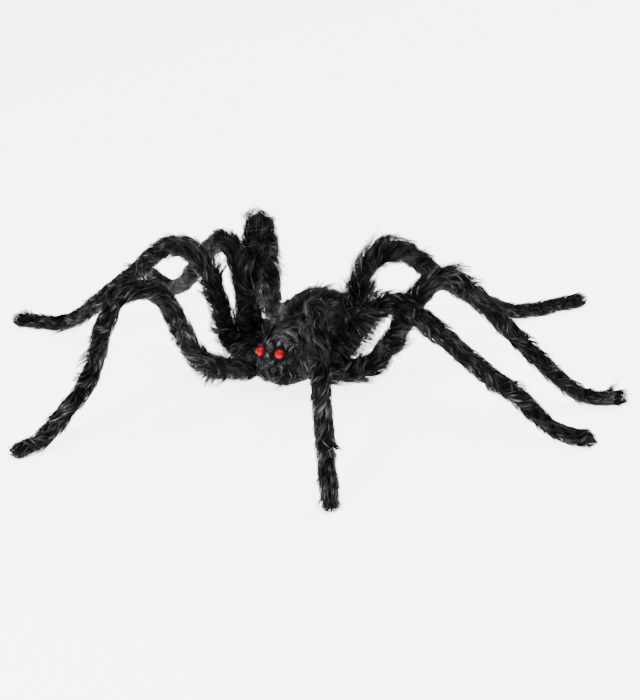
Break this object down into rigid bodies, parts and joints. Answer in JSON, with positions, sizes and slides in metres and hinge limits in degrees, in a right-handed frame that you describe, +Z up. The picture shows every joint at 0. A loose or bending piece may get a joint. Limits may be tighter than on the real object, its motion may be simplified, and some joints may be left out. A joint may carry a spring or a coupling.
{
  "type": "posable hairy toy spider",
  "caption": "Long-pile plush spider with a round abdomen, a small head with glossy bead eyes and arched legs that bend and hold a pose on inner wires.",
  "frame": {"origin": "middle of the footprint, on the surface it stands on", "axes": "+X towards the spider's left, +Y towards its abdomen, so the face looks along -Y; +Z up"},
  "size_m": [0.6486, 0.579, 0.1554],
  "materials": {
    "fur": "long pile with a soft sheen",
    "wire": "plain drawn wire",
    "bead": "polished"
  },
  "bodies": {
    "root": {"thorax": "fur", "abdomen": "fur", "leg_right_1": "fur", "leg_right_2": "fur", "leg_right_3": "fur", "leg_right_4": "fur", "leg_left_1": "fur", "leg_left_2": "fur", "leg_left_3": "fur", "leg_left_4": "fur", "wire_right_1": "wire", "wire_right_2": "wire", "wire_right_3": "wire", "wire_right_4": "wire", "wire_left_1": "wire", "wire_left_2": "wire", "wire_left_3": "wire", "wire_left_4": "wire", "eye_right": "bead", "eye_left": "bead"}
  },
  "joints": []
}
